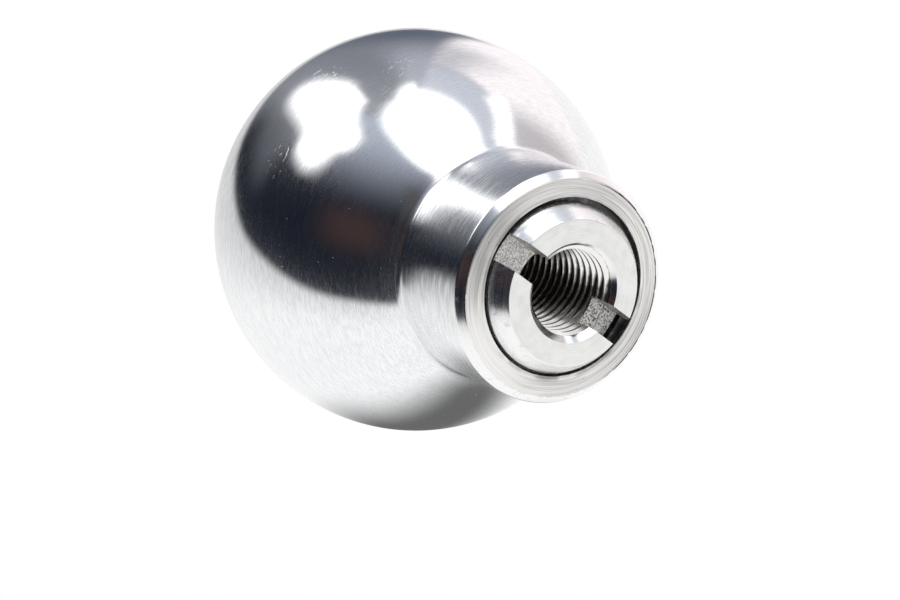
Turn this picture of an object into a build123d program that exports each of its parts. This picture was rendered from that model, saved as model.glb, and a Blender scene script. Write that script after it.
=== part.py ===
"""Ball-type gear shift knob: a turned knob with a slotted, screw-in lever adapter.

Millimetres, +Z up. The knob stands on the adapter's flat face: the origin is the centre of that face,
the neck rises from it and the ball is on top. The screwdriver slot runs along Y.
Both pieces are turned, so each is a half section in the XZ plane spun about Z.
Threads are left smooth here: each threaded wall is drawn at the radius of its thread's core.
"""

import os
from math import radians, sqrt, tan

from build123d import *

# Knob: ball, neck and rim
BALL_D = 52.0
BALL_RISE = 36.0
NECK_D = 28.6
ROOT_FILLET = 1.2
RIM_BEVEL = 0.95

# Socket in the neck for the adapter, thread M22 x 1.5, and the room above it for the lever's tip
SOCKET_D = 20.38
SOCKET_MOUTH_D = 21.9
SOCKET_MOUTH_DEPTH = 1.2
MOUTH_OFF_CENTRE = 0.2
SOCKET_DEPTH = 21.5
TIP_ROOM_D = 13.0
TIP_ROOM_DEPTH = 8.0
DRILL_POINT_ANGLE = 118.0

# Adapter: bush with a slotted, chamfered head and the lever's thread, M12 x 1.5
ADAPTER_CLEARANCE = 0.09
ADAPTER_PROUD = 2.5
HEAD_GAP = 0.5
HEAD_TAPER = 0.45
HEAD_CHAMFER_WIDTH = 1.05
HEAD_CHAMFER_HEIGHT = 1.6
THREAD_RELIEF_D = 19.4
THREAD_RELIEF_WIDTH = 2.1
TAIL_CHAMFER = 0.8
LEVER_BORE_D = 10.38
LEVER_MOUTH_D = 12.2
SLOT_WIDTH = 3.7
SLOT_DEPTH = 4.0
SLOT_OFF_CENTRE = 0.24

# Heights that both pieces share
FACE_Z = ADAPTER_PROUD
MOUTH_Z = FACE_Z + SOCKET_MOUTH_DEPTH
SHOULDER_Z = FACE_Z + SOCKET_DEPTH
BALL_Z = FACE_Z + BALL_RISE


def spun(outline_pen):
    """Spin a closed half section, drawn in X (radius) and Y (height), about the Z axis."""
    with BuildPart() as piece:
        with BuildSketch(Plane.XZ) as section:
            with BuildLine():
                corner = outline_pen()
            make_face()
            if corner:
                point, radius = corner
                fillet(section.vertices().sort_by_distance(point)[0], radius)
        revolve(axis=Axis.Z)
    return piece.part


def knob_outline():
    """Half section of the knob, before its mouth is cut. Returns the corner to round and its radius."""
    ball_r = BALL_D / 2
    neck_r = NECK_D / 2
    socket_r = SOCKET_D / 2
    tip_r = TIP_ROOM_D / 2
    neck_top = BALL_Z - sqrt(ball_r**2 - neck_r**2)
    tip_top = SHOULDER_Z + TIP_ROOM_DEPTH
    drill_top = tip_top + tip_r / tan(radians(DRILL_POINT_ANGLE / 2))
    crown = (0, BALL_Z + ball_r)
    equator = (ball_r, BALL_Z)
    root = (neck_r, neck_top)

    ThreePointArc(crown, equator, root)
    Polyline(
        root,
        (neck_r, FACE_Z + RIM_BEVEL),
        (neck_r - RIM_BEVEL, FACE_Z),
        (socket_r, FACE_Z),
        (socket_r, SHOULDER_Z),
        (tip_r, SHOULDER_Z),
        (tip_r, tip_top),
        (0, drill_top),
        crown,
    )
    return root, ROOT_FILLET


def adapter_outline():
    """Half section of the adapter bush, before its slot is cut."""
    shank_r = SOCKET_D / 2 - ADAPTER_CLEARANCE
    head_r = SOCKET_MOUTH_D / 2 - HEAD_GAP
    chamfer_r = head_r - HEAD_TAPER
    head_top = MOUTH_Z - HEAD_GAP
    relief_r = THREAD_RELIEF_D / 2
    relief_top = head_top + THREAD_RELIEF_WIDTH
    bore_r = LEVER_BORE_D / 2
    mouth_r = LEVER_MOUTH_D / 2
    countersink = mouth_r - bore_r

    Polyline(
        (mouth_r, 0),
        (chamfer_r - HEAD_CHAMFER_WIDTH, 0),
        (chamfer_r, HEAD_CHAMFER_HEIGHT),
        (head_r, FACE_Z),
        (head_r, head_top),
        (relief_r, head_top),
        (relief_r, relief_top),
        (shank_r, relief_top),
        (shank_r, SHOULDER_Z - TAIL_CHAMFER),
        (shank_r - TAIL_CHAMFER, SHOULDER_Z),
        (mouth_r, SHOULDER_Z),
        (bore_r, SHOULDER_Z - countersink),
        (bore_r, countersink),
        close=True,
    )


def knob():
    """Ball and neck, turned in one piece, with the socket's mouth opened out by hand, a little off its centre."""
    blank = spun(knob_outline)
    mouth = Cylinder(SOCKET_MOUTH_D / 2, SOCKET_MOUTH_DEPTH, align=(Align.CENTER, Align.CENTER, Align.MIN))
    return blank - Pos(X=MOUTH_OFF_CENTRE, Z=FACE_Z) * mouth


def adapter():
    """Screw-in bush, with the slot sawn by hand across its face, a little off its centre."""
    blank = spun(adapter_outline)
    slot = Box(SLOT_WIDTH, SOCKET_MOUTH_D, SLOT_DEPTH, align=(Align.CENTER, Align.CENTER, Align.MIN))
    return blank - Pos(X=-SLOT_OFF_CENTRE) * slot


os.makedirs("parts", exist_ok=True)
export_step(knob(), "parts/knob_body.step")
export_step(adapter(), "parts/threaded_insert.step")
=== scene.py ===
"""Looks of a ball gear shift knob: the turned and buffed knob, and the slotted adapter screwed into it.

Both pieces are turned about Z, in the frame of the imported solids: the origin is the centre of the adapter's
flat face, and the ball is on top. Sizes are in millimetres until a finished mesh is scaled to metres.
"""

import logging
from collections.abc import Mapping, Sequence
from dataclasses import dataclass
from enum import IntEnum
from math import atan2, ceil, cos, floor, hypot, pi, radians, sin, sqrt, tan

import bmesh
import bpy
from mathutils import Matrix, Vector


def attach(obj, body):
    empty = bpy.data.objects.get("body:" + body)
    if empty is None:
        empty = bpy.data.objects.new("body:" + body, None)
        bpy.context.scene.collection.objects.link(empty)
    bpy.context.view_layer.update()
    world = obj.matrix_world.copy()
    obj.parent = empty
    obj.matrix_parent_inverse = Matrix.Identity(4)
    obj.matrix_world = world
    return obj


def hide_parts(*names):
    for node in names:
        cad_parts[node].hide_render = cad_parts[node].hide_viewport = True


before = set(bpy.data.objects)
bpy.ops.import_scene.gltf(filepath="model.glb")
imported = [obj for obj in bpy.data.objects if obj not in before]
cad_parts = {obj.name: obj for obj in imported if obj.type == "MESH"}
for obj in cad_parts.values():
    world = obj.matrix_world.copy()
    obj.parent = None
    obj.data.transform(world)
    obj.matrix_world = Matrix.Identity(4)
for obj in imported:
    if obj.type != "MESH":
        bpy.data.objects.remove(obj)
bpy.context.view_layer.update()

MM = 0.001
HAZE_ROUGHNESS = 0.34
BARE_METAL = {"Metallic": 1.0, "Anisotropic Rotation": 0.25}
LOG = logging.getLogger("shift_knob")

Colour = tuple[float, float, float]
Point = tuple[float, float]
Span = tuple[float, float]
Axes = tuple[Vector, Vector, Vector]
Settings = Mapping[str, object] | None
Sockets = Mapping[str | int, object] | None
Term = "Wire | float"


class Wire:
    """An output socket that takes part in Python expressions, each of which adds Math nodes."""

    def __init__(self, bench: "Bench", socket: bpy.types.NodeSocket) -> None:
        """Keeps the bench that holds the socket's node, and the socket."""
        self.bench = bench
        self.socket = socket

    def __add__(self, other: Term) -> "Wire":
        """Sum."""
        return self.bench.math("ADD", self, other)

    __radd__ = __add__

    def __sub__(self, other: Term) -> "Wire":
        """Difference."""
        return self.bench.math("SUBTRACT", self, other)

    def __rsub__(self, other: float) -> "Wire":
        """Difference with a number on the left."""
        return self.bench.math("SUBTRACT", other, self)

    def __mul__(self, other: Term) -> "Wire":
        """Product."""
        return self.bench.math("MULTIPLY", self, other)

    __rmul__ = __mul__

    def __truediv__(self, other: Term) -> "Wire":
        """Quotient."""
        return self.bench.math("DIVIDE", self, other)

    def __rtruediv__(self, other: float) -> "Wire":
        """Quotient with a number on the left."""
        return self.bench.math("DIVIDE", other, self)

    def __pow__(self, other: Term) -> "Wire":
        """Power."""
        return self.bench.math("POWER", self, other)

    def rise(self, low: Term, high: Term) -> "Wire":
        """Smooth step from 0 at low to 1 at high."""
        sockets = {"Value": self, "From Min": low, "From Max": high}
        return self.bench.wire("ShaderNodeMapRange", {"interpolation_type": "SMOOTHSTEP"}, sockets)

    def band(self, low: float, high: float, soft: float) -> "Wire":
        """Mask that is 1 between two values, with edges that fade by soft on each side."""
        return self.rise(low - soft, low + soft) * (1 - self.rise(high - soft, high + soft))


class Bench:
    """A node tree being filled."""

    def __init__(self, tree: bpy.types.NodeTree) -> None:
        """Empties the tree."""
        tree.nodes.clear()
        self.tree = tree

    def add(self, kind: str, settings: Settings = None, sockets: Sockets = None) -> bpy.types.Node:
        """Adds one node.

        Args:
            kind: the node's type.
            settings: properties of the node, set first.
            sockets: values or wires for its inputs, by name or place.
        Returns:
            The node.
        """
        node = self.tree.nodes.new(kind)
        for name, value in (settings or {}).items():
            setattr(node, name, value)
        for key, value in (sockets or {}).items():
            socket = node.inputs[key]
            if isinstance(value, Wire):
                self.tree.links.new(value.socket, socket)
            elif socket.type == "RGBA":
                socket.default_value = (*value, 1.0)
            else:
                socket.default_value = value
        return node

    def wire(
        self, kind: str, settings: Settings = None, sockets: Sockets = None, output: str | int = 0
    ) -> Wire:
        """Adds one node and takes one of its outputs, by name or place."""
        return Wire(self, self.add(kind, settings, sockets).outputs[output])

    def math(self, operation: str, *terms: Term) -> Wire:
        """Math node on numbers."""
        return self.wire("ShaderNodeMath", {"operation": operation}, dict(enumerate(terms)))

    def dot(self, vector: Wire, direction: Vector) -> Wire:
        """Dot product of a vector with a fixed direction."""
        settings = {"operation": "DOT_PRODUCT"}
        return self.wire("ShaderNodeVectorMath", settings, {0: vector, 1: tuple(direction)}, "Value")

    def joined(self, x: Term, y: Term, z: Term) -> Wire:
        """Vector from three numbers."""
        return self.wire("ShaderNodeCombineXYZ", None, {0: x, 1: y, 2: z})

    def mix(self, share: Term, first: Wire | Colour, second: Wire | Colour) -> Wire:
        """Colour between two colours. A share of 0 gives the first, 1 the second."""
        sockets = {0: share, 6: first, 7: second}
        return self.wire("ShaderNodeMix", {"data_type": "RGBA"}, sockets, 2)

    def noise(self, vector: Wire, scale: float, detail: float = 2.0) -> Wire:
        """Soft noise from about 0.2 to 0.8. Scale counts cells in a unit, detail octaves of finer noise."""
        return self.wire("ShaderNodeTexNoise", None, {"Vector": vector, "Scale": scale, "Detail": detail})

    def bump(self, height: Wire, depth_mm: float, under: Wire | None = None) -> Wire:
        """Normal of a surface with fine relief.

        Args:
            height: relief, from 0 to 1.
            depth_mm: depth of that relief.
            under: normal of a coarser relief that this one lies on.
        Returns:
            The normal.
        """
        sockets = {"Strength": 1.0, "Distance": depth_mm * MM, "Height": height}
        if under:
            sockets["Normal"] = under
        return self.wire("ShaderNodeBump", None, sockets)

    def matt_or_clear(self, colour: Colour, clear: Wire) -> None:
        """Ends the tree in a matt surface that is clear in places.

        Args:
            colour: colour of the surface.
            clear: 0 where it is matt, 1 where it is clear.
        """
        matt = self.wire("ShaderNodeBsdfDiffuse", None, {"Color": colour})
        gone = self.wire("ShaderNodeBsdfTransparent")
        surface = self.wire("ShaderNodeMixShader", None, {0: clear, 1: matt, 2: gone})
        self.add("ShaderNodeOutputMaterial", None, {"Surface": surface})


def new_material(name: str) -> tuple[bpy.types.Material, Bench]:
    """Makes a material and the bench for its nodes.

    Args:
        name: name of the material.
    Returns:
        The material and its empty bench.
    """
    material = bpy.data.materials.new(name)
    material.use_nodes = True
    return material, Bench(material.node_tree)


@dataclass(frozen=True)
class ToolMarks:
    """Fine lines that a tool leaves round the axis. Width and depth are in millimetres.

    A line fades in and out on its way round, more often with more breaks.
    """

    width: float
    breaks: float
    depth: float
    octaves: float = 2.0


class TurnedPlace:
    """Where a point is on a piece turned about Z, in millimetres, as wires."""

    least_r = 0.01

    def __init__(self, bench: Bench) -> None:
        """Reads Object coordinates and works out the radius."""
        self.bench = bench
        coordinates = bench.wire("ShaderNodeTexCoord", None, None, "Object")
        settings = {"operation": "SCALE"}
        self.point = bench.wire("ShaderNodeVectorMath", settings, {"Vector": coordinates, "Scale": 1 / MM})
        split = bench.add("ShaderNodeSeparateXYZ", None, {0: self.point})
        self.x, self.y, self.z = (Wire(bench, output) for output in split.outputs)
        self.radius = bench.math("SQRT", self.x * self.x + self.y * self.y)

    def towards(self, angle: float) -> Wire:
        """One on the side that the angle points to, minus one on the other side."""
        return (self.x * cos(angle) + self.y * sin(angle)) / self.radius

    def lines(self, along: Wire, marks: ToolMarks) -> Wire:
        """Height of tool marks.

        Args:
            along: length across the lines.
            marks: the lines.
        Returns:
            Their height, about 0.2 to 0.8.
        """
        turn = self.bench.math("MAXIMUM", self.radius, self.least_r) / marks.breaks
        place = self.bench.joined(self.x / turn, self.y / turn, along / marks.width)
        return self.bench.noise(place, 1.0, marks.octaves)


@dataclass(frozen=True)
class Look:
    """Sockets of the metal's shader, and the share of a wide haze round what it mirrors."""

    sockets: dict[str, object]
    haze: Term = 0.0


@dataclass(frozen=True)
class Finish:
    """A finish of bare aluminium. Each kind says how it looks. A mark sets in over its span of values."""

    name: str

    def look(self, bench: Bench, place: TurnedPlace) -> Look:
        """The finish at a place."""
        raise NotImplementedError

    def make(self) -> bpy.types.Material:
        """Makes the material.

        Returns:
            A new material with this finish.
        """
        material, bench = new_material(self.name)
        look = self.look(bench, TurnedPlace(bench))
        sockets = {**BARE_METAL, **look.sockets}
        shader = bench.wire("ShaderNodeBsdfPrincipled", None, sockets)
        if look.haze:
            sockets["Roughness"] = HAZE_ROUGHNESS
            wide = bench.wire("ShaderNodeBsdfPrincipled", None, sockets)
            shader = bench.wire("ShaderNodeMixShader", None, {0: look.haze, 1: shader, 2: wide})
        bench.add("ShaderNodeOutputMaterial", None, {"Surface": shader})
        return material


@dataclass(frozen=True)
class BuffedBall(Finish):
    """Near mirror, with the hair lines of turning and buffing round the axis."""

    centre_z: float
    ball_r: float
    bright: Colour = (0.95, 0.955, 0.965)
    worn: Colour = (0.83, 0.84, 0.86)
    roughness: float = 0.08
    anisotropic: float = 0.45
    haze: float = 0.17
    hair: ToolMarks = ToolMarks(0.13, 18.0, 0.0013, 1.0)
    streak: ToolMarks = ToolMarks(0.8, 4.0, 0.003, 3.0)
    wear: Span = (0.36, 0.68)
    wave_scale: float = 0.12
    wave_depth: float = 0.02
    dust_scale: float = 3.0
    dust: Span = (0.85, 0.9)
    nicked: tuple[tuple[float, float, float], ...] = (
        (-4.5, -25.0, 33.5),
        (9.0, -24.3, 36.9),
        (14.7, -19.9, 30.4),
    )
    nicked_reach: float = 4.0
    nick: Span = (0.64, 0.7)
    nick_depth: float = 0.012
    nick_haze: float = 0.45

    def look(self, bench: Bench, place: TurnedPlace) -> Look:
        """Short hair lines, broader streaks, specks and a few nicked places on a slightly wavy mirror."""
        rise = bench.math("MINIMUM", (place.z - self.centre_z) / self.ball_r, 1.0)
        down = bench.math("ARCCOSINE", rise) * self.ball_r
        hair = place.lines(down, self.hair)
        streak = place.lines(down, self.streak)
        dull = (hair * 0.75 + streak * 0.25).rise(*self.wear)
        nicks = self.nicks(bench, place)
        dust = bench.noise(place.point, self.dust_scale, 0.0).rise(*self.dust)
        waved = bench.bump(bench.noise(place.point, self.wave_scale, 1.0), self.wave_depth)
        streaked = bench.bump(streak, self.streak.depth, waved)
        haired = bench.bump(hair, self.hair.depth, streaked)
        sockets = {
            "Base Color": bench.mix(dull, self.bright, self.worn),
            "Metallic": 1.0 - dust * 0.5,
            "Roughness": self.roughness + dull * 0.05 + nicks * 0.05,
            "Anisotropic": self.anisotropic,
            "Normal": bench.bump(nicks, self.nick_depth, haired),
        }
        return Look(sockets, self.haze * (0.5 + dull) + nicks * self.nick_haze)

    def nicks(self, bench: Bench, place: TurnedPlace) -> Wire:
        """Short scratches in the places where the ball has been knocked.

        Args:
            bench: the material's nodes.
            place: the place.
        Returns:
            Their mask, from 0 to 1.
        """
        mask = 0.0
        for centre in self.nicked:
            ends = {0: place.point, 1: centre}
            off = bench.wire("ShaderNodeVectorMath", {"operation": "DISTANCE"}, ends, "Value")
            mask = (1 - off.rise(self.nicked_reach * 0.2, self.nicked_reach)) + mask
        stretched = bench.joined(place.x * 0.8, place.y * 2.6, place.z * 2.6)
        return bench.noise(stretched, 1.0, 1.0).rise(*self.nick) * mask


@dataclass(frozen=True)
class TurnedWall(Finish):
    """Polished over fine turning lines, on a wall along the axis."""

    bright: Colour = (0.92, 0.925, 0.935)
    worn: Colour = (0.80, 0.81, 0.83)
    roughness: float = 0.16
    anisotropic: float = 0.7
    haze: float = 0.24
    fine: ToolMarks = ToolMarks(0.13, 6.0, 0.003)
    streak: ToolMarks = ToolMarks(0.455, 5.0, 0.008)
    wear: Span = (0.36, 0.66)

    def look(self, bench: Bench, place: TurnedPlace) -> Look:
        """Turning lines that stretch reflections along the axis, dragged into streaks by polishing."""
        fine = place.lines(place.z, self.fine)
        streak = place.lines(place.z, self.streak)
        worn = (fine * 0.35 + streak * 0.65).rise(*self.wear)
        relief = bench.bump(streak, self.streak.depth)
        sockets = {
            "Base Color": bench.mix(worn, self.bright, self.worn),
            "Roughness": self.roughness + worn * 0.1,
            "Anisotropic": self.anisotropic,
            "Normal": bench.bump(fine, self.fine.depth, relief),
        }
        return Look(sockets, self.haze * (0.4 + worn))


@dataclass(frozen=True)
class BrightEdge(Finish):
    """Bevel or chamfer cut with a sharp tool and left bright."""

    marks: ToolMarks = ToolMarks(0.25, 1.6, 0.0016)
    bright: Colour = (0.95, 0.95, 0.955)
    scuffed: Colour = (0.82, 0.82, 0.82)
    roughness: float = 0.12
    anisotropic: float = 0.0
    haze: float = 0.08
    hazy: Span = (0.42, 0.66)
    scuff_scale: float = 1.1
    scuff: Span = (0.56, 0.74)

    def look(self, bench: Bench, place: TurnedPlace) -> Look:
        """Bright metal with a few scuffs and faint tool lines, which may smear reflections downhill."""
        lines = place.lines(place.radius + place.z, self.marks)
        scuff = bench.noise(place.point, self.scuff_scale, 4.0).rise(*self.scuff)
        sockets = {
            "Base Color": bench.mix(scuff, self.bright, self.scuffed),
            "Roughness": self.roughness + scuff * 0.16 + lines * 0.05,
            "Anisotropic": self.anisotropic,
            "Normal": bench.bump(lines, self.marks.depth),
        }
        return Look(sockets, self.haze * (0.3 + lines.rise(*self.hazy) * 1.8) + scuff * 0.2)


@dataclass(frozen=True)
class FacedRing(Finish):
    """Flat end face with the rings that a facing tool leaves."""

    rim_r: float
    mouth_r: float
    bright: Colour = (0.95, 0.94, 0.925)
    dull: Colour = (0.64, 0.63, 0.615)
    # Colour of the smudges and pits, and of the dark line along one side of the rim.
    grime: Colour = (0.05, 0.05, 0.05)
    roughness: float = 0.34
    anisotropic: float = 0.85
    rings: ToolMarks = ToolMarks(0.16, 1.6, 0.003, 3.0)
    wear: Span = (0.32, 0.72)
    dish: float = 0.06
    side: Span = (0.78, 1.0)
    line_towards: float = radians(50)
    line: Span = (0.6, 0.9)
    line_reach: Span = (-0.17, 0.2)
    line_soft: float = 0.04
    # Sides of the painted sheen and the painted shade: the face is drawn lighter towards the first and darker
    # towards the second.
    painted_sheen_towards: float = radians(198)
    painted_shading_towards: float = radians(262)
    patch_scale: float = 0.28
    smudge_width: float = 0.7
    smudge: Span = (0.45, 0.65)
    pit_scale: float = 3.2
    pit: Span = (0.74, 0.8)
    pitted: Span = (0.5, 0.6)

    def look(self, bench: Bench, place: TurnedPlace) -> Look:
        """Concentric rings, painted sheen towards one side and painted shade towards another, a dark line by
        one side of the rim, smudges by the mouth and a few pits.
        """
        rings = place.lines(place.radius, self.rings)
        # Painted sheen towards one side and painted shade towards another.
        painted_sheen = place.towards(self.painted_sheen_towards).rise(*self.side)
        painted_shading = place.towards(self.painted_shading_towards).rise(*self.side)
        # The rings' wear, lightened by the painted sheen and darkened by the painted shade.
        worn = rings.rise(*self.wear) * (1 - painted_sheen * 0.75) + painted_shading * 0.3
        patch = bench.noise(place.point, self.patch_scale, 2.0)
        # A dark line along one side of the rim's edge, broken up by soft noise.
        rim = (place.radius - self.rim_r).band(*self.line_reach, self.line_soft)
        line = rim * (place.towards(self.line_towards) + patch * 0.6).rise(*self.line)
        by_mouth = 1 - place.radius.rise(self.mouth_r, self.mouth_r + self.smudge_width)
        smudge = by_mouth * patch.rise(*self.smudge) * 0.5
        pits = bench.noise(place.point, self.pit_scale, 1.0).rise(*self.pit) * patch.rise(*self.pitted)
        dark_marks = bench.math("MAXIMUM", bench.math("MAXIMUM", line, smudge), pits)
        metal = bench.mix(worn, self.bright, self.dull)
        relief = rings - place.radius * (self.dish / self.rings.depth)
        sockets = {
            "Base Color": bench.mix(dark_marks, metal, self.grime),
            "Metallic": 1.0 - dark_marks * 0.6,
            "Roughness": self.roughness + worn * 0.1,
            "Anisotropic": self.anisotropic,
            "Normal": bench.bump(relief, self.rings.depth),
        }
        return Look(sockets)


@dataclass(frozen=True)
class SatinFace(Finish):
    """Fine, even facing cut with handling marks."""

    bright: Colour = (0.91, 0.91, 0.90)
    dull: Colour = (0.80, 0.80, 0.78)
    roughness: float = 0.3
    rings: ToolMarks = ToolMarks(0.09, 4.0, 0.0014)
    wear: Span = (0.4, 0.68)
    blotch_scale: float = 0.55

    def look(self, bench: Bench, place: TurnedPlace) -> Look:
        """Satin metal with faint rings and soft blotches."""
        rings = place.lines(place.radius, self.rings)
        blotch = bench.noise(place.point, self.blotch_scale, 4.0)
        worn = (rings * 0.45 + blotch * 0.55).rise(*self.wear)
        sockets = {
            "Base Color": bench.mix(worn, self.bright, self.dull),
            "Roughness": self.roughness + blotch * 0.08,
            "Normal": bench.bump(rings, self.rings.depth),
        }
        return Look(sockets)


@dataclass(frozen=True)
class SawnSlot(Finish):
    """Coarse, torn metal that a saw leaves."""

    bright: Colour = (0.88, 0.87, 0.85)
    soft_pit: Colour = (0.34, 0.33, 0.325)
    deep_pit: Colour = (0.08, 0.078, 0.076)
    roughness: float = 0.4
    grain_scale: float = 4.2
    grain_depth: float = 0.1
    pit: Span = (0.33, 0.62)
    torn_y: Span = (-8.0, 7.0)

    def look(self, bench: Bench, place: TurnedPlace) -> Look:
        """Grain with dark pits and bright torn points, rougher where the saw came out."""
        grain = bench.noise(place.point, self.grain_scale, 2.0)
        coarse = bench.noise(place.point, self.grain_scale * 0.3, 2.0)
        height = grain * 0.75 + coarse * 0.25
        pit = bench.mix(place.y.rise(*self.torn_y), self.soft_pit, self.deep_pit)
        sockets = {
            "Base Color": bench.mix(height.rise(*self.pit), pit, self.bright),
            "Roughness": self.roughness + grain * 0.2,
            "Normal": bench.bump(height, self.grain_depth),
        }
        return Look(sockets)


@dataclass(frozen=True)
class CutThread(Finish):
    """Tapped thread, bright on its crests and darkened in its roots and further in by oil and painted shade,
    with painted light on two sides and painted shade on a third.
    """

    crest_r: float
    root_r: float
    mouth: float
    bright: Colour = (0.90, 0.89, 0.88)
    # Colour of the oil film and of the painted shade in the roots and further in.
    oily: Colour = (0.055, 0.043, 0.034)
    roughness: float = 0.16
    marks: ToolMarks = ToolMarks(0.1, 3.0, 0.004)
    grime_scale: float = 1.4
    # Spans over which the oil film, with its painted shade, sets in, and the depths over which it thickens
    # further in.
    oil: Span = (0.75, 1.1)
    oil_and_shade_z: Span = (1.0, 10.0)
    # Sides brightened by painted light, and the side darkened by painted shade deeper in.
    painted_light_towards: tuple[float, float] = (radians(5), radians(155))
    painted_light_side: Span = (0.45, 0.95)
    painted_shade_towards: float = radians(68)
    painted_shade_side: Span = (0.82, 0.98)
    painted_shade_z: Span = (4.0, 7.5)

    def look(self, bench: Bench, place: TurnedPlace) -> Look:
        """Bright crests that darken towards the roots, with painted light towards two sides and painted shade
        towards a third.
        """
        inside = place.z.rise(self.mouth * 0.5, self.mouth)
        depth = (place.radius - self.crest_r) / (self.root_r - self.crest_r)
        grime = bench.noise(place.point, self.grime_scale, 3.0)
        # Painted light and shade by side: lighter towards two sides, darker deeper in towards a third.
        painted_light = place.towards(self.painted_shade_towards).rise(*self.painted_shade_side) * (place.z.rise(*self.painted_shade_z) - 1)
        for angle in self.painted_light_towards:
            painted_light = place.towards(angle).rise(*self.painted_light_side) + painted_light
        # The oil film, with painted shade towards the roots, further in and on the shaded side.
        film = depth * 0.8 + grime * 0.4 + place.z.rise(*self.oil_and_shade_z) * 0.4 + (1 - painted_light) * 0.3
        oily = film.rise(*self.oil) * inside
        sockets = {
            "Base Color": bench.mix(oily, self.bright, self.oily),
            "Metallic": 1.0 - oily * 0.3,
            "Roughness": self.roughness + oily * 0.25,
            "Normal": bench.bump(place.lines(place.radius, self.marks), self.marks.depth),
        }
        return Look(sockets)


@dataclass(frozen=True)
class OilyMetal(Finish):
    """Hidden cut metal, dark with oil and fine swarf. In the knob's mouth and socket its dark colours are oil
    and painted shade.
    """

    dark: Colour = (0.035, 0.033, 0.032)
    light: Colour = (0.12, 0.115, 0.11)
    roughness: float = 0.4
    metallic: float = 0.8
    film_scale: float = 1.2
    film_depth: float = 0.02
    thin: Span = (0.5, 0.75)

    def look(self, bench: Bench, place: TurnedPlace) -> Look:
        """Dark film, thinner in places."""
        film = bench.noise(place.point, self.film_scale, 3.0)
        sockets = {
            "Base Color": bench.mix(film.rise(*self.thin), self.dark, self.light),
            "Metallic": self.metallic,
            "Roughness": self.roughness + film * 0.2,
            "Normal": bench.bump(film, self.film_depth),
        }
        return Look(sockets)


@dataclass(frozen=True)
class Thread:
    """A right-handed thread between two heights, in millimetres. Flats are shares of the pitch."""

    inner_r: float
    outer_r: float
    bottom: float
    top: float
    pitch: float = 1.5
    inner_flat: float = 0.25
    outer_flat: float = 0.125
    flank_rows: int = 2
    fade: float = 0.0
    mouth_r: float = 0.0
    spare_turns: int = 2

    def outline(self) -> list[Point]:
        """Its section on one side, from well below its bottom to well above its top.

        Returns:
            Radius and height of each point.
        """
        flank = (1 - self.inner_flat - self.outer_flat) / 2
        steps = [step / self.flank_rows for step in range(self.flank_rows + 1)]
        up = [(self.inner_flat / 2 + flank * step, step) for step in steps]
        down = [(1 - share, depth) for share, depth in reversed(up)]
        depth_mm = self.outer_r - self.inner_r
        first = floor(self.bottom / self.pitch) - self.spare_turns
        last = ceil(self.top / self.pitch) + self.spare_turns
        return [
            (self.inner_r + depth_mm * depth, (turn + share) * self.pitch)
            for turn in range(first, last)
            for share, depth in up + down
        ]

    def trim(self, vert: bmesh.types.BMVert) -> None:
        """Brings a point of the spun thread between its ends, where it fades or runs into a countersink."""
        radius = hypot(vert.co.x, vert.co.y)
        height = min(max(vert.co.z, self.bottom), self.top)
        left = min(height - self.bottom, self.top - height)
        share = min(left / self.fade, 1.0) if self.fade else 1.0
        turned = max(self.inner_r + (radius - self.inner_r) * share, self.mouth_r - left)
        vert.co = (vert.co.x * turned / radius, vert.co.y * turned / radius, height)


def guarded(start: Point, end: Point, guard: float = 0.3, spacing: float = 1.5) -> list[Point]:
    """Straight outline with points close to its ends, so that shading stays flat up to them.

    Args:
        start: first radius and height.
        end: last radius and height.
        guard: distance of the close points from the ends.
        spacing: longest step between the other points.
    Returns:
        Points from start to end.
    """
    length = hypot(end[0] - start[0], end[1] - start[1])
    inner = length - 2 * guard
    steps = max(1, ceil(inner / spacing))
    shares = [0.0, *((guard + inner * step / steps) / length for step in range(steps + 1)), 1.0]
    return [(start[0] + (end[0] - start[0]) * s, start[1] + (end[1] - start[1]) * s) for s in shares]


def arc(centre: Point, radius: float, first: float, last: float, steps: int) -> list[Point]:
    """Round outline of that many chords between two angles, which grow from outwards towards up."""
    angles = [first + (last - first) * step / steps for step in range(steps + 1)]
    return [(centre[0] + radius * cos(angle), centre[1] + radius * sin(angle)) for angle in angles]


def as_object(
    mesh: bmesh.types.BMesh, name: str, materials: Sequence[bpy.types.Material]
) -> bpy.types.Object:
    """Turns a mesh, which it uses up, into an object of the scene.

    Args:
        mesh: the mesh, in metres.
        name: name of the object.
        materials: its materials.
    Returns:
        The object, at the origin.
    """
    data = bpy.data.meshes.new(name)
    mesh.to_mesh(data)
    mesh.free()
    for material in materials:
        data.materials.append(material)
    piece = bpy.data.objects.new(name, data)
    bpy.context.scene.collection.objects.link(piece)
    return piece


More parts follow.
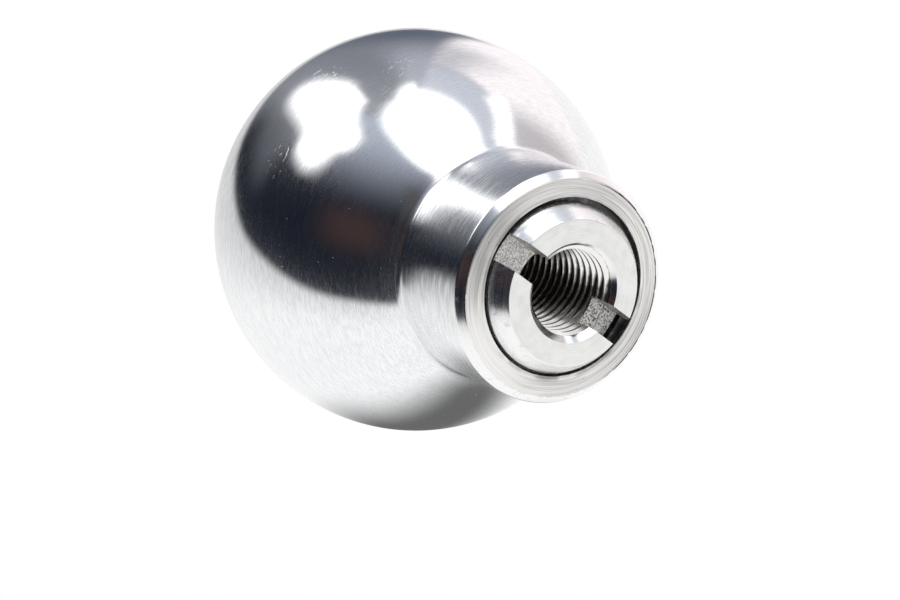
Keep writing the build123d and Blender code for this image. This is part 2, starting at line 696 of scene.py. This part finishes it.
class Turning:
    """A piece on the lathe: outlines spun about Z into one closed mesh, in millimetres."""

    merge = 0.002
    sliver = 0.0002
    reach = 0.01
    ease_rows = 3
    crease = radians(28)

    def __init__(self, segments: int) -> None:
        """Starts an empty mesh with that many segments round the axis."""
        self.mesh = bmesh.new()
        self.segments = segments

    def spin(self, outline: Sequence[Point], surface: int, thread: Thread | None = None) -> None:
        """Spins an open outline once round the axis.

        Args:
            outline: radius and height of its points.
            surface: place of its finish in the piece's list.
            thread: the thread that the outline winds along, if it is one.
        """
        strip = bmesh.new()
        verts = [strip.verts.new((radius, 0.0, height)) for radius, height in outline]
        edges = [strip.edges.new(pair) for pair in zip(verts, verts[1:])]
        bmesh.ops.spin(
            strip,
            geom=verts + edges,
            cent=(0.0, 0.0, 0.0),
            axis=(0.0, 0.0, 1.0),
            dvec=(0.0, 0.0, thread.pitch / self.segments if thread else 0.0),
            angle=2 * pi,
            steps=self.segments,
            use_merge=thread is None,
            use_duplicate=False,
        )
        if thread:
            for vert in strip.verts:
                thread.trim(vert)
        for face in strip.faces:
            face.material_index = surface
        data = bpy.data.meshes.new("strip")
        strip.to_mesh(data)
        strip.free()
        self.mesh.from_mesh(data)
        bpy.data.meshes.remove(data)

    def thread(self, thread: Thread, surface: int) -> None:
        """Cuts a thread as one wall between its two ends."""
        self.spin(thread.outline(), surface, thread)

    def close(self) -> None:
        """Joins the walls at their shared rings."""
        bmesh.ops.remove_doubles(self.mesh, verts=self.mesh.verts[:], dist=self.merge)
        bmesh.ops.dissolve_degenerate(self.mesh, edges=self.mesh.edges[:], dist=self.sliver)

    def ease(self, corner: Point, width: float) -> None:
        """Rounds a sharp ring.

        Args:
            corner: radius and height of the ring.
            width: width of the round on each side.
        """
        ring = [edge for edge in self.mesh.edges if all(self.on_ring(vert, corner) for vert in edge.verts)]
        bmesh.ops.bevel(
            self.mesh,
            geom=ring,
            offset=width,
            offset_type="OFFSET",
            affect="EDGES",
            segments=self.ease_rows,
            profile=0.5,
            material=-1,
        )

    def on_ring(self, vert: bmesh.types.BMVert, corner: Point) -> bool:
        """Whether a point is on a ring of that radius and height."""
        off = hypot(hypot(vert.co.x, vert.co.y) - corner[0], vert.co.z - corner[1])
        return off < self.reach

    def shift(self, low: Point, high: Point, move: Vector) -> None:
        """Moves the points of some rings sideways.

        Args:
            low: least radius and height of those points.
            high: greatest radius and height.
            move: how they move.
        """
        for vert in self.mesh.verts:
            if low[0] < hypot(vert.co.x, vert.co.y) < high[0] and low[1] < vert.co.z < high[1]:
                vert.co += move

    def saw_slot(self, middle: float, width: float, depth: float, surface: int) -> None:
        """Saws a slot along Y across the bottom face.

        Args:
            middle: x of the slot's middle.
            width: width of the slot.
            depth: height of its floor above the bottom face.
            surface: place of its finish in the piece's list.
        """
        sides = (middle - width / 2, middle + width / 2)
        self.split(self.mesh.faces[:], (0.0, 0.0, depth), (0.0, 0.0, 1.0))
        for side in sides:
            head = [face for face in self.mesh.faces if face.calc_center_median().z < depth]
            self.split(head, (side, 0.0, 0.0), (1.0, 0.0, 0.0))
        waste = [
            face
            for face in self.mesh.faces
            if face.calc_center_median().z < depth and sides[0] < face.calc_center_median().x < sides[1]
        ]
        bmesh.ops.delete(self.mesh, geom=waste, context="FACES")
        for end in (-1, 1):
            rim = [
                edge
                for edge in self.mesh.edges
                if edge.is_boundary and all(vert.co.y * end > 0 for vert in edge.verts)
            ]
            sills = [self.slot_wall(rim, side, depth, surface) for side in sides]
            floor_rim = [edge for edge in rim if all(abs(v.co.z - depth) < self.reach for v in edge.verts)]
            self.panel(floor_rim + sills, surface)

    def slot_wall(
        self, rim: Sequence[bmesh.types.BMEdge], side: float, depth: float, surface: int
    ) -> bmesh.types.BMEdge:
        """Fills one wall of the slot.

        Args:
            rim: open edges at one end of the slot.
            side: x of the wall.
            depth: height of the slot's floor.
            surface: place of its finish in the piece's list.
        Returns:
            The wall's new edge along the slot's floor.
        """
        chain = [
            edge
            for edge in rim
            if all(abs(v.co.x - side) < self.reach and v.co.z < depth + self.reach for v in edge.verts)
        ]
        ends = [
            vert
            for edge in chain
            for vert in edge.verts
            if sum(other in chain for other in vert.link_edges) == 1
        ]
        sill = self.mesh.edges.new(ends)
        self.panel([*chain, sill], surface)
        return sill

    def panel(self, edges: Sequence[bmesh.types.BMEdge], surface: int) -> None:
        """Fills a closed flat loop of edges with one face."""
        made = bmesh.ops.contextual_create(self.mesh, geom=list(edges))
        for face in made["faces"]:
            face.material_index = surface

    def split(
        self, faces: Sequence[bmesh.types.BMFace], point: Sequence[float], normal: Sequence[float]
    ) -> None:
        """Cuts faces along the plane through a point with that normal."""
        geom = list({part for face in faces for part in (*face.verts, *face.edges, face)})
        bmesh.ops.bisect_plane(self.mesh, geom=geom, dist=self.sliver, plane_co=point, plane_no=normal)

    def take_off(self, name: str, finishes: Sequence[Finish]) -> bpy.types.Object:
        """Turns the finished mesh into an object in metres.

        Args:
            name: name of the piece.
            finishes: its finishes, in the order of its surfaces.
        Returns:
            The object, at the origin.
        """
        open_edges = sum(not edge.is_manifold for edge in self.mesh.edges)
        bmesh.ops.recalc_face_normals(self.mesh, faces=self.mesh.faces[:])
        bmesh.ops.scale(self.mesh, vec=(MM, MM, MM), verts=self.mesh.verts[:])
        piece = as_object(self.mesh, name, [finish.make() for finish in finishes])
        piece.data.shade_smooth()
        piece.data.set_sharp_from_angle(angle=self.crease)
        triangles = sum(len(face.vertices) - 2 for face in piece.data.polygons)
        LOG.info("%s: %d triangles, %d open edges", name, triangles, open_edges)
        return piece


class KnobSurface(IntEnum):
    """Surfaces of the knob, in the order of its finishes."""

    BALL = 0
    NECK = 1
    RIM = 2
    RING = 3
    MOUTH = 4
    SOCKET = 5


@dataclass(frozen=True)
class Knob:
    """Ball and neck, turned in one piece, with the threaded socket for the adapter."""

    face_z: float = 2.5
    ball_d: float = 52.0
    ball_rise: float = 36.0
    neck_d: float = 28.6
    root_fillet: float = 1.2
    rim_bevel: float = 0.95
    rim_ease: float = 0.14
    mouth_d: float = 21.9
    mouth_depth: float = 1.2
    mouth_off_centre: float = 0.2
    mouth_ease: float = 0.14 / 3
    mouth_margin: float = 0.1
    socket_d: float = 20.38
    socket_depth: float = 21.5
    thread_depth: float = 0.81
    thread_end: float = 1.2
    thread_fade: float = 0.9
    tip_room_d: float = 13.0
    tip_room_depth: float = 8.0
    drill_point: float = radians(118)
    segments: int = 192
    ball_rows: int = 96
    fillet_rows: int = 6

    @property
    def ball_z(self) -> float:
        """Height of the ball's centre."""
        return self.face_z + self.ball_rise

    def root(self) -> tuple[Point, float]:
        """Centre of the round between ball and neck, and its angle seen from the ball's centre."""
        across = self.neck_d / 2 + self.root_fillet
        down = sqrt((self.ball_d / 2 + self.root_fillet) ** 2 - across**2)
        return (across, self.ball_z - down), atan2(-down, across)

    def build(self) -> bpy.types.Object:
        """Turns the knob and dresses it.

        Returns:
            The finished piece.
        """
        turning = Turning(self.segments)
        self.turn_outside(turning)
        self.turn_socket(turning)
        turning.close()
        neck_r = self.neck_d / 2
        turning.ease((neck_r, self.face_z + self.rim_bevel), self.rim_ease)
        turning.ease((neck_r - self.rim_bevel, self.face_z), self.rim_ease)
        mouth_r = self.mouth_d / 2
        margin = self.mouth_margin
        turning.ease((mouth_r, self.face_z), self.mouth_ease)
        low = (mouth_r - 2 * margin, self.face_z - margin)
        high = (mouth_r + 2 * margin, self.face_z + self.mouth_depth + margin)
        turning.shift(low, high, Vector((self.mouth_off_centre, 0.0, 0.0)))
        return turning.take_off("buffed_knob", self.finishes())

    def turn_outside(self, turning: Turning) -> None:
        """Turns ball, neck, rim bevel and end face.

        Args:
            turning: the piece on the lathe.
        """
        neck_r = self.neck_d / 2
        ball = (0.0, self.ball_z)
        root, root_angle = self.root()
        bevel_top = (neck_r, self.face_z + self.rim_bevel)
        bevel_foot = (neck_r - self.rim_bevel, self.face_z)
        turning.spin(arc(ball, self.ball_d / 2, pi / 2, root_angle, self.ball_rows), KnobSurface.BALL)
        turning.spin(arc(root, self.root_fillet, root_angle + pi, pi, self.fillet_rows), KnobSurface.NECK)
        turning.spin(guarded((neck_r, root[1]), bevel_top), KnobSurface.NECK)
        turning.spin(guarded(bevel_top, bevel_foot), KnobSurface.RIM)
        turning.spin(guarded(bevel_foot, (self.mouth_d / 2, self.face_z)), KnobSurface.RING)

    def turn_socket(self, turning: Turning) -> None:
        """Bores the threaded socket and the room above it.

        Args:
            turning: the piece on the lathe.
        """
        socket_r = self.socket_d / 2
        tip_r = self.tip_room_d / 2
        mouth_r = self.mouth_d / 2
        mouth_top = self.face_z + self.mouth_depth
        shoulder = self.face_z + self.socket_depth
        tip_top = shoulder + self.tip_room_depth
        thread = Thread(
            inner_r=socket_r,
            outer_r=socket_r + self.thread_depth,
            bottom=mouth_top,
            top=shoulder - self.thread_end,
            fade=self.thread_fade,
        )
        mouth = [(mouth_r, self.face_z), (mouth_r, mouth_top), (socket_r, mouth_top)]
        turning.spin(mouth, KnobSurface.MOUTH)
        turning.thread(thread, KnobSurface.SOCKET)
        bore = [
            (socket_r, thread.top),
            (socket_r, shoulder),
            (tip_r, shoulder),
            (tip_r, tip_top),
            (0.0, tip_top + tip_r / tan(self.drill_point / 2)),
        ]
        turning.spin(bore, KnobSurface.SOCKET)

    def finishes(self) -> list[Finish]:
        """Finishes in the order of the surfaces."""
        return [
            BuffedBall("buffed_ball", self.ball_z, self.ball_d / 2),
            TurnedWall("turned_neck"),
            BrightEdge("bright_rim"),
            FacedRing("faced_ring", self.neck_d / 2 - self.rim_bevel, self.mouth_d / 2),
            # Mouth and socket: dark colours of oil and painted shade inside the knob.
            OilyMetal("oily_shaded_mouth", dark=(0.13, 0.128, 0.13), light=(0.38, 0.38, 0.38)),
            OilyMetal("oily_shaded_socket"),
        ]


class AdapterSurface(IntEnum):
    """Surfaces of the adapter, in the order of its finishes."""

    FACE = 0
    CHAMFER = 1
    SHANK = 2
    SLOT = 3
    BORE = 4


@dataclass(frozen=True)
class Adapter:
    """Bush with the lever's thread in it, its own thread on it and a slot across its face."""

    head_d: float = 20.9
    head_height: float = 3.2
    taper_width: float = 0.45
    taper_end: float = 2.5
    chamfer_width: float = 1.05
    chamfer_height: float = 1.6
    chamfer_ease: float = 0.04
    chamfer_marks: ToolMarks = ToolMarks(0.25, 1.6, 0.008)
    shank_d: float = 20.2
    length: float = 24.0
    tail_chamfer: float = 0.8
    relief_d: float = 19.4
    relief_width: float = 2.1
    thread_depth: float = 0.78
    thread_inner_flat: float = 0.3
    thread_outer_flat: float = 0.1
    thread_fade: float = 1.0
    bore_d: float = 10.38
    bore_thread_depth: float = 0.75
    bore_pitch: float = 1.35
    bore_flank_rows: int = 4
    mouth_d: float = 12.2
    slot_width: float = 3.7
    slot_depth: float = 4.0
    slot_middle: float = -0.24
    segments: int = 160

    def build(self) -> bpy.types.Object:
        """Turns the adapter, saws its slot and dresses it.

        Returns:
            The finished piece.
        """
        turning = Turning(self.segments)
        chamfer_r = self.head_d / 2 - self.taper_width
        self.turn_outside(turning)
        self.cut_bore(turning)
        turning.close()
        turning.ease((chamfer_r - self.chamfer_width, 0.0), self.chamfer_ease)
        turning.ease((chamfer_r, self.chamfer_height), self.chamfer_ease)
        turning.saw_slot(self.slot_middle, self.slot_width, self.slot_depth, AdapterSurface.SLOT)
        return turning.take_off("slotted_adapter", self.finishes())

    def turn_outside(self, turning: Turning) -> None:
        """Turns both end faces, the chamfers and the threaded shank.

        Args:
            turning: the piece on the lathe.
        """
        head_r = self.head_d / 2
        shank_r = self.shank_d / 2
        mouth_r = self.mouth_d / 2
        relief_r = self.relief_d / 2
        chamfer_top = (head_r - self.taper_width, self.chamfer_height)
        face_rim = (chamfer_top[0] - self.chamfer_width, 0.0)
        taper_top = (head_r, self.taper_end)
        head_top = (head_r, self.head_height)
        relief_top = self.head_height + self.relief_width
        relief = [head_top, (relief_r, self.head_height), (relief_r, relief_top), (shank_r, relief_top)]
        thread = Thread(
            inner_r=shank_r,
            outer_r=shank_r + self.thread_depth,
            bottom=relief_top,
            top=self.length - self.tail_chamfer,
            inner_flat=self.thread_inner_flat,
            outer_flat=self.thread_outer_flat,
            fade=self.thread_fade,
        )
        tail = [
            (shank_r, thread.top),
            (shank_r - self.tail_chamfer, self.length),
            (mouth_r, self.length),
        ]
        turning.spin(guarded((mouth_r, 0.0), face_rim), AdapterSurface.FACE)
        turning.spin(guarded(face_rim, chamfer_top), AdapterSurface.CHAMFER)
        turning.spin(guarded(chamfer_top, taper_top), AdapterSurface.CHAMFER)
        turning.spin([taper_top, head_top], AdapterSurface.CHAMFER)
        turning.spin(relief, AdapterSurface.SHANK)
        turning.thread(thread, AdapterSurface.SHANK)
        turning.spin(tail, AdapterSurface.SHANK)

    def cut_bore(self, turning: Turning) -> None:
        """Cuts the lever's thread right through, with a countersink at each end.

        Args:
            turning: the piece on the lathe.
        """
        bore_r = self.bore_d / 2
        thread = Thread(
            inner_r=bore_r,
            outer_r=bore_r + self.bore_thread_depth,
            bottom=0.0,
            top=self.length,
            pitch=self.bore_pitch,
            flank_rows=self.bore_flank_rows,
            mouth_r=self.mouth_d / 2,
        )
        turning.thread(thread, AdapterSurface.BORE)

    def finishes(self) -> list[Finish]:
        """Finishes in the order of the surfaces."""
        bore_r = self.bore_d / 2
        return [
            SatinFace("satin_face"),
            BrightEdge("bright_chamfer", self.chamfer_marks, roughness=0.2, anisotropic=0.75, haze=0.16),
            OilyMetal("oily_shank", dark=(0.36, 0.355, 0.35), light=(0.74, 0.73, 0.72)),
            SawnSlot("sawn_slot"),
            CutThread("lever_thread", bore_r, bore_r + self.bore_thread_depth, self.mouth_d / 2 - bore_r),
        ]


@dataclass(frozen=True)
class PhotoCamera:
    """Camera, placed by how the knob lies in the picture. It looks down on the table by its pitch."""

    lens_mm: float = 119.0
    sensor_mm: float = 36.0
    picture_px: tuple[int, int] = (900, 600)
    ball_px: tuple[float, float] = (415.9, 229.6)
    ball_z_mm: float = 38.5
    depth_mm: float = 385.0
    axis_lean: float = radians(32.74)
    axis_turn: float = radians(23.5)
    slot_turn: float = radians(100.3)
    pitch: float = radians(25.5)
    clip_start_m: float = 0.01

    def knob_axes(self) -> Matrix:
        """The knob's X, Y and Z in the camera's own axes (right, up, back), as columns."""
        lean, turn = self.axis_lean, self.axis_turn
        out = Vector((sin(lean) * cos(turn), -sin(lean) * sin(turn), cos(lean)))
        away = Vector((cos(lean) * cos(turn), -cos(lean) * sin(turn), -sin(lean)))
        side = Vector((sin(turn), cos(turn), 0.0))
        slot = away * sin(self.slot_turn) + side * cos(self.slot_turn)
        up = -out
        return Matrix((slot.cross(up), slot, up)).transposed()

    def room_axes(self) -> Axes:
        """The room's directions.

        Returns:
            To the camera's right, level towards the camera, and up.
        """
        right, up, back = (row.copy() for row in self.knob_axes())
        down, along = sin(self.pitch), cos(self.pitch)
        return right, back * along - up * down, back * down + up * along

    def place(self) -> None:
        """Makes the camera and sets it as the scene's own."""
        axes = self.knob_axes()
        focal_px = self.lens_mm / self.sensor_mm * self.picture_px[0]
        across = (self.ball_px[0] - self.picture_px[0] / 2) / focal_px
        down = (self.ball_px[1] - self.picture_px[1] / 2) / focal_px
        ball = Vector((across, -down, -1.0)) * self.depth_mm
        home = Vector((0.0, 0.0, self.ball_z_mm)) - axes.transposed() @ ball
        data = bpy.data.cameras.new("photo_camera")
        data.lens = self.lens_mm
        data.sensor_width = self.sensor_mm
        data.clip_start = self.clip_start_m
        camera = bpy.data.objects.new("photo_camera", data)
        camera.matrix_world = Matrix.Translation(home * MM) @ axes.transposed().to_4x4()
        bpy.context.scene.collection.objects.link(camera)
        bpy.context.scene.camera = camera


class Gaze:
    """The direction that light comes from, as wires. Bearing 0 is towards the camera, height 0 is level."""

    def __init__(self, bench: Bench, axes: Axes) -> None:
        """Works out the bearing, which grows to the camera's right, and the height, both in degrees."""
        self.bench = bench
        ray = bench.wire("ShaderNodeTexCoord", None, None, "Generated")
        across, ahead, up = (bench.dot(ray, axis) for axis in axes)
        self.bearing = bench.math("ARCTAN2", across, ahead) * (180 / pi)
        self.height = bench.math("ARCSINE", up) * (180 / pi)


@dataclass(frozen=True)
class Panel:
    """A soft-edged sheet in the room. Bearings, heights and softness are in degrees."""

    bearing: Span
    height: Span
    soft: float
    colour: Colour

    def hang(self, room: Wire, gaze: Gaze) -> Wire:
        """Colour of the room with the sheet in it."""
        mask = gaze.bearing.band(*self.bearing, self.soft) * gaze.height.band(*self.height, self.soft)
        return gaze.bench.mix(mask, room, self.colour)


@dataclass(frozen=True)
class Border:
    """A border in the room, in degrees, that changes in steps. Each step has its two ends and its rise."""

    start: float
    steps: tuple[tuple[float, float, float], ...]

    def along(self, way: Wire) -> Wire:
        """Where the border is.

        Args:
            way: bearing or height that the border runs along.
        Returns:
            Its place at each point of the way.
        """
        place = self.start
        for first, last, rise in self.steps:
            place = way.rise(first, last) * rise + place
        return place


@dataclass(frozen=True)
class Studio:
    """The room that the metal mirrors: a white table, a dark side, soft lamps and pale walls.

    Spans and borders are bearings or heights in degrees. Edges say how soft a border is on each side.
    """

    dark: Colour = (0.007, 0.010, 0.018)
    slate: Colour = (0.37, 0.41, 0.49)
    slate_heights: Span = (26.0, 72.0)
    slate_power: float = 1.3
    back_low: Colour = (0.10, 0.115, 0.16)
    back_high: Colour = (0.42, 0.43, 0.48)
    back_heights: Span = (5.0, 50.0)
    back_side: Colour = (0.21, 0.22, 0.25)
    back_side_bearings: Span = (-170.0, -90.0)
    back_side_soft: float = 8.0
    back_corner: float = -152.0
    back_lean: float = 0.7
    back_right: Span = (171.0, 176.0)
    back_edge: Span = (-9.0, 9.0)
    wall_shade: Colour = (0.54, 0.51, 0.52)
    wall_light: Colour = (1.10, 1.03, 1.04)
    wall_start: Span = (91.0, 99.0)
    wall_lit: Span = (112.0, 134.0)
    wall_top: Span = (46.0, 54.0)
    wall_end: Colour = (0.60, 0.59, 0.62)
    wall_end_bearings: Span = (146.0, 168.0)
    wall_end_heights: Span = (10.0, 32.0)
    table: Colour = (0.99, 0.99, 0.985)
    table_far: Colour = (0.72, 0.72, 0.72)
    table_far_heights: Span = (-36.0, -12.0)
    table_far_bearings: Span = (-22.0, -2.0)
    table_edge: Span = (-3.0, 3.0)
    table_end: Border = Border(
        -6.5, ((-10.0, 10.0, 24.0), (-110.0, -45.0, -7.0), (-138.0, -100.0, -5.0), (150.0, 172.0, -12.0))
    )
    lamp: Colour = (2.4, 2.4, 2.4)
    lamp_left: float = -149.5
    lamp_lean: float = 0.14
    lamp_right: Border = Border(-80.5, ((46.0, 56.0, 7.0),))
    lamp_sill: Border = Border(18.2, ((-154.0, -110.0, 20.0), (-112.0, -101.0, -4.5), (-91.0, -76.0, 3.0)))
    lamp_top: Border = Border(49.0, ((-148.0, -126.0, 13.0),))
    lamp_edges: tuple[Span, ...] = ((-7.0, 7.0), (-10.0, 10.0), (-8.0, 6.0), (-5.0, 5.0))
    eaves: Border = Border(67.5, ((70.0, 120.0, -4.0), (-178.0, -140.0, 9.0)))
    eaves_edge: Span = (-6.0, 5.0)
    sag: float = 27.0
    sag_bearing: float = 45.0
    sag_width: float = 53.0
    panels: tuple[Panel, ...] = (
        Panel((-56.0, -20.0), (14.0, 25.0), 14.0, (0.075, 0.038, 0.031)),
        Panel((-160.0, -110.0), (8.0, 45.0), 9.0, (0.10, 0.108, 0.125)),
        Panel((-8.0, 94.0), (0.0, 47.0), 5.0, (0.07, 0.065, 0.062)),
        Panel((45.0, 98.0), (17.0, 45.0), 5.0, (1.0, 0.97, 0.97)),
        Panel((34.0, 200.0), (49.0, 70.0), 4.0, (0.57, 0.60, 0.67)),
        Panel((88.0, 132.0), (43.0, 52.0), 3.0, (1.5, 1.5, 1.5)),
    )

    def build(self, axes: Axes) -> None:
        """Lights the scene from a world whose light depends on direction.

        Args:
            axes: the room's directions.
        """
        world = bpy.data.worlds.new("studio")
        world.use_nodes = True
        bpy.context.scene.world = world
        bench = Bench(world.node_tree)
        gaze = Gaze(bench, axes)
        above = (gaze.height - self.table_end.along(gaze.bearing)).rise(*self.table_edge)
        scene = bench.mix(above, self.table_top(gaze), self.lamps(self.room(gaze), gaze))
        seen = bench.wire("ShaderNodeLightPath", None, None, "Is Camera Ray")
        light = bench.wire("ShaderNodeBackground", None, {"Color": scene})
        white = bench.wire("ShaderNodeBackground", None, {"Color": (1.0, 1.0, 1.0)})
        surface = bench.wire("ShaderNodeMixShader", None, {0: seen, 1: light, 2: white})
        bench.add("ShaderNodeOutputWorld", None, {"Surface": surface})

    def room(self, gaze: Gaze) -> Wire:
        """Colour of the room above the table, without its lamps.

        Args:
            gaze: the direction.
        Returns:
            The colour.
        """
        bench, bearing, height = gaze.bench, gaze.bearing, gaze.height
        room = bench.mix(height.rise(*self.slate_heights) ** self.slate_power, self.dark, self.slate)
        wall = bench.mix(bearing.rise(*self.wall_lit), self.wall_shade, self.wall_light)
        end = bearing.rise(*self.wall_end_bearings) * height.rise(*self.wall_end_heights)
        wall = bench.mix(end, wall, self.wall_end)
        room = bench.mix(bearing.rise(*self.wall_start) * (1 - height.rise(*self.wall_top)), room, wall)
        for panel in self.panels:
            room = panel.hang(room, gaze)
        back = bench.mix(height.rise(*self.back_heights), self.back_low, self.back_high)
        side = bearing.band(*self.back_side_bearings, self.back_side_soft)
        back = bench.mix(side, back, self.back_side)
        left = (height * self.back_lean + self.back_corner - bearing).rise(*self.back_edge)
        behind = bench.math("MAXIMUM", left, bearing.rise(*self.back_right))
        return bench.mix(behind, room, back)

    def lamps(self, room: Wire, gaze: Gaze) -> Wire:
        """Hangs the window-like lamp on the left and the lit ceiling in the room.

        Args:
            room: colour of the room so far.
            gaze: the direction.
        Returns:
            The room's colour with the lamps in it.
        """
        bench, bearing, height = gaze.bench, gaze.bearing, gaze.height
        insides = (
            bearing - (height * self.lamp_lean + self.lamp_left),
            self.lamp_right.along(height) - bearing,
            height - self.lamp_sill.along(bearing),
            self.lamp_top.along(bearing) - height,
        )
        key = 1.0
        for inside, edge in zip(insides, self.lamp_edges):
            key = inside.rise(*edge) * key
        room = bench.mix(key, room, self.lamp)
        off = (bearing - self.sag_bearing) / self.sag_width
        eaves = self.eaves.along(bearing) - self.sag * bench.math("EXPONENT", off * off * -1.0)
        return bench.mix((height - eaves).rise(*self.eaves_edge), room, self.lamp)

    def table_top(self, gaze: Gaze) -> Wire:
        """Colour of the table, duller far off on the left."""
        left = 1 - gaze.bearing.rise(*self.table_far_bearings)
        return gaze.bench.mix(gaze.height.rise(*self.table_far_heights) * left, self.table, self.table_far)


@dataclass(frozen=True)
class ShadeCard:
    """A long, soft, dark patch close under the ball, as it lies in the photograph. Only mirrors show it.

    The patch runs from one place to another, each to the right of the ball's centre and towards the camera,
    and fades out between two distances from that line, all in millimetres.
    """

    ball_z: float = 38.5
    below: float = 26.6
    half_width: float = 45.0
    start: Point = (-2.0, 8.5)
    end: Point = (11.0, 20.0)
    fade: Span = (2.0, 16.5)
    darkness: float = 0.88

    def build(self, axes: Axes) -> None:
        """Lays the card.

        Args:
            axes: the room's directions.
        """
        right, level, up = axes
        middle = Vector((0.0, 0.0, self.ball_z)) - up * self.below
        mesh = bmesh.new()
        corners = ((-1, -1), (1, -1), (1, 1), (-1, 1))
        places = [middle + (right * a + level * b) * self.half_width for a, b in corners]
        mesh.faces.new([mesh.verts.new(place * MM) for place in places])
        card = as_object(mesh, "shade_card", [self.material(middle, right, level)])
        card.visible_camera = False
        card.visible_diffuse = False
        card.visible_shadow = False

    def material(self, middle: Vector, right: Vector, level: Vector) -> bpy.types.Material:
        """A black patch on a clear card.

        Args:
            middle: the card's middle, in millimetres.
            right: its direction to the camera's right.
            level: its direction towards the camera.
        Returns:
            The material.
        """
        material, bench = new_material("shade_card")
        place = TurnedPlace(bench)
        across = bench.dot(place.point, right) - middle.dot(right) - self.start[0]
        along = bench.dot(place.point, level) - middle.dot(level) - self.start[1]
        run = (self.end[0] - self.start[0], self.end[1] - self.start[1])
        share = (across * run[0] + along * run[1]) / (run[0] ** 2 + run[1] ** 2)
        share = bench.math("MINIMUM", bench.math("MAXIMUM", share, 0.0), 1.0)
        off = bench.math("SQRT", (across - share * run[0]) ** 2.0 + (along - share * run[1]) ** 2.0)
        bench.matt_or_clear((0.0, 0.0, 0.0), 1 - self.darkness * (1 - off.rise(*self.fade)))
        return material


@dataclass(frozen=True)
class Floor:
    """Pale floor under the standing knob, in metres. It fades out far off and is clear from below."""

    half_width: float = 0.6
    drop: float = 0.00005
    fade: Span = (0.10, 0.30)
    colour: Colour = (0.86, 0.86, 0.86)

    def build(self) -> None:
        """Lays the floor."""
        mesh = bmesh.new()
        bmesh.ops.create_grid(mesh, x_segments=1, y_segments=1, size=self.half_width)
        bmesh.ops.translate(mesh, vec=(0.0, 0.0, -self.drop), verts=mesh.verts[:])
        piece = as_object(mesh, "floor", [self.material()])
        piece.visible_glossy = False
        piece.visible_diffuse = False
        piece.visible_shadow = False

    def material(self) -> bpy.types.Material:
        """Matt pale surface, clear from below and far from the knob.

        Returns:
            The material.
        """
        material, bench = new_material("pale_floor")
        behind = bench.wire("ShaderNodeNewGeometry", None, None, "Backfacing")
        far = (TurnedPlace(bench).radius * MM).rise(*self.fade)
        bench.matt_or_clear(self.colour, bench.math("MAXIMUM", behind, far))
        return material


def fit(piece: bpy.types.Object, node: str, body: str) -> None:
    """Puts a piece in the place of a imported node.

    Args:
        piece: the finished piece.
        node: the node that it stands for.
        body: the body that it moves with.
    """
    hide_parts(node)
    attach(piece, body)
    LOG.info("%s stands for %s and moves with %s", piece.name, node, body)


def main() -> None:
    """Builds the pieces, the floor, the camera and the light."""
    logging.basicConfig(level=logging.INFO, format="%(message)s")
    bpy.context.scene.view_settings.view_transform = "Standard"
    fit(Knob().build(), "knob_body", "knob")
    fit(Adapter().build(), "threaded_insert", "adapter")
    Floor().build()
    camera = PhotoCamera()
    camera.place()
    Studio().build(camera.room_axes())
    ShadeCard().build(camera.room_axes())


if __name__ == "__main__":
    main()
